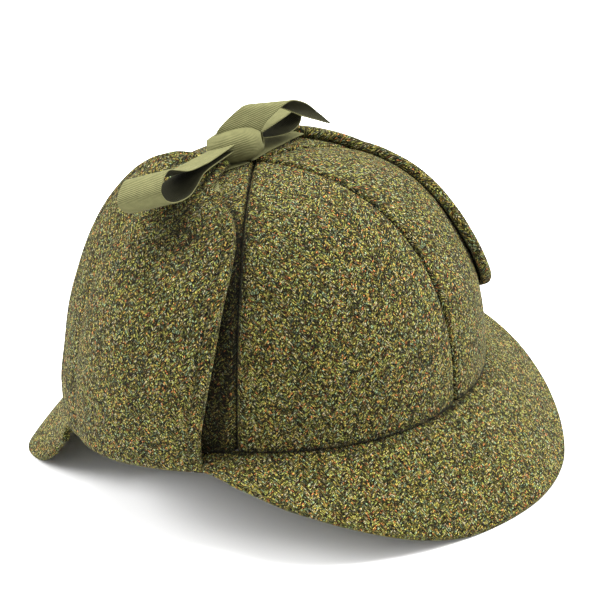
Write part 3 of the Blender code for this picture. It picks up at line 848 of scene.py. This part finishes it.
def napTree(material):
    tree = Tree("wool fibres", nap)
    placeSeed, leanSeed, sizeSeed = napWool["seeds"]
    scatter = tree.add("GeometryNodeDistributePointsOnFaces", {}, {
        "Mesh": tree.given["Geometry"], "Density": tree.given["density"], "Seed": placeSeed})
    normal = scatter.node.outputs["Normal"]
    lean = tree.add("ShaderNodeVectorMath", {"operation": "SCALE"}, {
        0: tree.add("FunctionNodeRandomValue", {"data_type": "FLOAT_VECTOR"},
                    {0: (-1, -1, -1), 1: (1, 1, 1), "Seed": leanSeed}), "Scale": tree.given["lean"]})
    aim = tree.add("ShaderNodeVectorMath", {"operation": "ADD"}, {0: normal, 1: lean})
    turned = tree.add("FunctionNodeAlignRotationToVector", {"axis": "Z"}, {"Vector": aim})
    radius = tree.add("ShaderNodeMath", {"operation": "MULTIPLY"}, {0: tree.given["width"], 1: 0.5})
    hair = tree.add("GeometryNodeMeshCone", {"fill_type": "NONE"}, {
        "Vertices": 3, "Radius Top": 0.0, "Radius Bottom": radius, "Depth": tree.given["length"]})
    size = tree.add("FunctionNodeRandomValue", {"data_type": "FLOAT"},
                    {2: napWool["shortest"], 3: 1.0, "Seed": sizeSeed}, 1)
    tree.close(tree.add("GeometryNodeInstanceOnPoints", {}, {
        "Points": scatter, "Instance": hair, "Rotation": turned, "Scale": size}), material)
    return tree


def joinedMesh(name, pieces):
    shape = bmesh.new()
    for piece in pieces:
        shape.from_mesh(piece.data)
    mesh = bpy.data.meshes.new(name)
    shape.to_mesh(mesh)
    shape.free()
    return mesh


tweedPieces = [piece for piece in bpy.context.collection.objects
               if piece.name.startswith(("panel_", "flap_", "front_brim", "back_brim"))]
fibre = thread("wool fibre", napWool["colour"])
grown("wool_nap", joinedMesh("tweed surface", tweedPieces), napTree(fibre), nap)
print("nap raised")


# ribbon bow

bow = {
    # the ribbon's reverse side is darkened by painted shade
    "width": 0.0200, "thickness": 0.0006, "reverseShade": 0.84, "cadThickness": 0.0009, "columns": 10, "rows": 84,
    "side": -0.0040, "forward": 0.0100,
    "tie": {"place": 0.24, "apart": 0.0024, "gathered": 1.2, "most": 0.99, "narrow": 0.3, "fall": 0.4,
            "clear": 0.3, "rows": 40},
    "knot": {"turn": -58, "lift": 0.12, "rise": 0.00644, "across": 0.0083, "high": 0.0072, "width": 0.0235,
             "start": 0.62, "wraps": 1.02, "tighten": 0.10, "square": 0.85, "rows": 72, "columns": 26,
             "leftEnd": (0.34, 2.4), "rightEnd": (0.52, 3.4)},
    "nearLoop": 0.0590, "nearOut": (-1.05, -0.15, 0.053), "nearAcross": (-0.30, 0.93, -0.20),
    "farLoop": 0.0370, "farOut": (1, 0, 0), "farAcross": (0, 1, 0), "shiftRun": 0.5,
    "tail": 0.0350, "tailBearing": -57, "tailColumns": 20, "teeth": 0.0009,
    # a loop's path: way out, height, share of the width
    "nearPath": (
        (0.06, 0.026, 0.44), (0.15, 0.030, 0.60), (0.34, 0.022, 0.82), (0.48, 0.022, 0.95),
        (0.70, 0.054, 1.0), (0.85, 0.112, 1.0), (0.98, 0.160, 1.0), (1.07, 0.126, 1.0), (1.13, 0.062, 1.0),
        (1.10, -0.014, 1.0), (1.02, -0.072, 1.0), (0.90, -0.108, 1.0), (0.72, -0.116, 1.0),
        (0.49, -0.038, 0.95), (0.34, -0.022, 0.82), (0.16, -0.015, 0.60), (0.07, -0.012, 0.44)),
    "farPath": (
        (0.24, 0.03, 0.50), (0.33, 0.05, 0.62), (0.48, 0.09, 0.86), (0.70, 0.12, 1.0), (0.88, 0.13, 1.0),
        (0.98, 0.08, 1.0), (1.00, -0.01, 1.0), (0.92, -0.08, 1.0), (0.74, -0.10, 1.0), (0.52, -0.07, 0.86),
        (0.34, -0.03, 0.62), (0.25, -0.02, 0.50)),
    # the tail's path: aside, back, up, then the way across it
    "tailPath": (
        (0.02, -0.02, 0.10, 1.00, 0.00, 0.00), (0.10, 0.00, 0.22, 1.00, 0.00, 0.00),
        (0.21, 0.04, 0.31, 1.00, 0.00, 0.00), (0.38, 0.11, 0.41, 1.00, 0.04, -0.02),
        (0.49, 0.20, 0.42, 0.98, 0.14, -0.08), (0.66, 0.31, 0.34, 0.88, 0.38, -0.24),
        (0.83, 0.40, 0.20, 0.72, 0.56, -0.40), (1.00, 0.48, 0.03, 0.58, 0.65, -0.49)),
}
knotFloor = crown["height"] + bow["cadThickness"] + 2 * peaks["gap"]
knotPlace = Vector((bow["side"], -bow["forward"], knotFloor + bow["knot"]["rise"]))
knotBearing = math.radians(bow["knot"]["turn"])
knotAxis = Vector((math.cos(knotBearing), math.sin(knotBearing), bow["knot"]["lift"])).normalized()


def cutLength(grid):
    # run of the ribbon square to its width, as it was cut
    middle, run = len(grid[0]) // 2, 0.0
    for row, after in zip(grid, grid[1:]):
        across = (row[-1] - row[0]).normalized()
        step = after[middle] - row[middle]
        run += (step - across * step.dot(across)).length
    return run


def ribbonPiece(name, node, grid, reverseShade=0.0, **declared):
    half = bow["thickness"] / 2
    piece = clothPiece(name, grid, lambda i, j: half, arcSpread(grid), ribbonCloth, half, reverseShade=reverseShade)
    length = cutLength(grid)
    dress(piece, node)
    print(name, "is cut to", bow["width"], "by", round(length, 4))


def linesGrid(lines, columns, teeth=0.0):
    # the teeth are the last row's ragged end
    grid = [[middle + across * width * (j / columns - 0.5) for j in range(columns + 1)]
            for middle, across, width in lines]
    grid[-1] = [point + (point - before).normalized() * teeth * (j % 2)
                for j, (point, before) in enumerate(zip(grid[-1], grid[-2]))]
    return grid


def loopLines(path, length, out, across, shift):
    out, across = Vector(out), Vector(across).normalized()
    lines = []
    for i in range(bow["rows"] + 1):
        far, up, width = along(path, i / bow["rows"])
        middle = (knotPlace + out * far * length + Vector((0, 0, up * length))
                  + across * shift * min(far / bow["shiftRun"], 1.0))
        lines.append((middle, across, width * bow["width"]))
    return lines


def tailLines():
    bearing = math.radians(bow["tailBearing"])
    sideways = Vector((math.cos(bearing), math.sin(bearing), 0))
    away = Vector((-math.sin(bearing), math.cos(bearing), 0))
    lines = []
    for i in range(bow["rows"] + 1):
        aside, back, up, *turn = along(bow["tailPath"], i / bow["rows"])
        middle = knotPlace + (sideways * aside + away * back + Vector((0, 0, up))) * bow["tail"]
        across = sideways * turn[0] + away * turn[1] + Vector((0, 0, turn[2]))
        lines.append((middle, across.normalized(), bow["width"]))
    return lines


def tiePiece(name, node, side, lean, under):
    tie = bow["tie"]
    climb, front, back, _, _, take = flaps["edges"][-1]
    middle = side * (front + (back - front) * tie["place"] - lean * take)
    pace = (crownShell(middle + 1, climb) - crownShell(middle, climb)).length
    end = Vector((knotPlace.x + side * tie["apart"] / 2, knotPlace.y))
    inward = (end - crownShell(middle, climb).xy).normalized()
    across = Vector((-inward.y, inward.x))
    clear = flaps["thickness"] * tie["clear"] + 2 * peaks["gap"]
    low = bow["cadThickness"] / 2 + peaks["gap"]
    grid, columns = [], bow["columns"]
    for i in range(tie["rows"] + 1):
        share = i / tie["rows"]
        width = bow["width"] * (1 - tie["narrow"] * share)
        rise = (flapLie() - low) * max(1 - share / tie["fall"], 0.0) if side > 0 else 0.0
        row = []
        for j in range(columns + 1):
            aside = width * (j / columns - 0.5)
            start = crownShell(middle - side * aside / pace, climb).xy + inward * clear
            row.append(overCrown(*start.lerp(end + across * aside, share), low + rise))
        grid.append(row)
    # the ribbon is drawn in at its inner end, so more of it was cut than shows
    area = min(gridArea(grid) * tie["gathered"], bow["width"] * cutLength(grid) * tie["most"])
    ribbonPiece(name, node, grid, area=round(area, 7), held="laid", rests_on=[under])


def knotPiece(name, node):
    knot = bow["knot"]
    sideways = Vector((-math.sin(knotBearing), math.cos(knotBearing), 0))
    upright = knotAxis.cross(sideways)
    grid = []
    for i in range(knot["rows"] + 1):
        angle = -math.pi * knot["start"] - math.tau * knot["wraps"] * i / knot["rows"]
        spiral = 1 - knot["tighten"] * i / knot["rows"]
        x, z = math.cos(angle), math.sin(angle)
        row = []
        for j in range(knot["columns"] + 1):
            place = j / knot["columns"] - 0.5
            narrow, soon = knot["leftEnd"] if place < 0 else knot["rightEnd"]
            barrel = (1 - narrow * abs(2 * place) ** soon) * spiral
            point = (knotPlace + knotAxis * place * knot["width"]
                     + sideways * math.copysign(abs(x) ** knot["square"], x) * knot["across"] * barrel
                     + upright * math.copysign(abs(z) ** knot["square"], z) * knot["high"] * barrel)
            point.z = max(point.z, knotFloor + bow["thickness"] / 2)
            row.append(point)
        grid.append(row)
    ribbonPiece(name, node, grid, held="folded")


nearLines = loopLines(bow["nearPath"], bow["nearLoop"], bow["nearOut"], bow["nearAcross"], bow["width"] / 2)
farLines = loopLines(bow["farPath"], bow["farLoop"], bow["farOut"], bow["farAcross"], 0.0)
tailGrid = linesGrid(tailLines(), bow["tailColumns"], bow["teeth"])
ribbonPiece("loop_right", "bow_loop_right", linesGrid(nearLines, bow["columns"]), bow["reverseShade"],
            held="folded", rests_on=["flap_right"])
ribbonPiece("loop_left", "bow_loop_left", linesGrid(farLines, bow["columns"]), bow["reverseShade"],
            held="folded", rests_on=["panel_front_left"])
ribbonPiece("loose_end", "bow_tail", tailGrid, bow["reverseShade"], held="draped", rests_on=["knot_wrap"])
tiePiece("strap_right", "tie_right", -1, 0, "panel_side_right")
tiePiece("strap_left", "tie_left", 1, flaps["leftLean"], "panel_front_left")
knotPiece("knot_wrap", "bow_knot")
print("bow made")


# floor and light

studio = {
    "floor": (0.93, 0.93, 0.93), "floorSpeck": (0.88, 0.88, 0.88), "floorHalf": 6.0,
    "speckScale": 40.0, "speckShare": 0.02, "world": 1.0, "aim": (0, 0, 0.06),
    "lights": (  # name, place, power, size
        ("top softbox", (0.15, 0.05, 1.6), 42.0, 1.0),
        ("left softbox", (-0.50, 1.24, 0.85), 32.0, 0.9),
        ("right softbox", (0.91, -0.95, 0.95), 44.0, 0.9)),
}


def addFloor():
    mesh = bpy.data.meshes.new("floor")
    size = studio["floorHalf"]
    corners = [(-size, -size, 0), (size, -size, 0), (size, size, 0), (-size, size, 0)]
    mesh.from_pydata(corners, [], [(0, 1, 2, 3)])
    paper = Finish("floor paper")
    grain = paper.noise(paper.add("TexCoord", {}, {}, 3), studio["speckScale"], dimensions="3D")
    colour = paper.blend(grain * studio["speckShare"], (*studio["floor"], 1), (*studio["floorSpeck"], 1))
    mesh.materials.append(paper.finish({"Base Color": colour, "Roughness": 0.9}))
    floor = bpy.data.objects.new("floor", mesh)
    bpy.context.collection.objects.link(floor)


def addLight(name, place, power, size):
    light = bpy.data.lights.new(name, "AREA")
    light.energy = power
    light.size = size
    lamp = bpy.data.objects.new(name, light)
    bpy.context.collection.objects.link(lamp)
    lamp.location = place
    lamp.rotation_euler = (Vector(studio["aim"]) - Vector(place)).to_track_quat("-Z", "Y").to_euler()


addFloor()
for light in studio["lights"]:
    addLight(*light)
bpy.context.scene.view_settings.view_transform = "Standard"
world = bpy.data.worlds.new("studio")
world.use_nodes = True
world.node_tree.nodes["Background"].inputs[0].default_value = (1, 1, 1, 1)
world.node_tree.nodes["Background"].inputs[1].default_value = studio["world"]
bpy.context.scene.world = world
print("studio made")
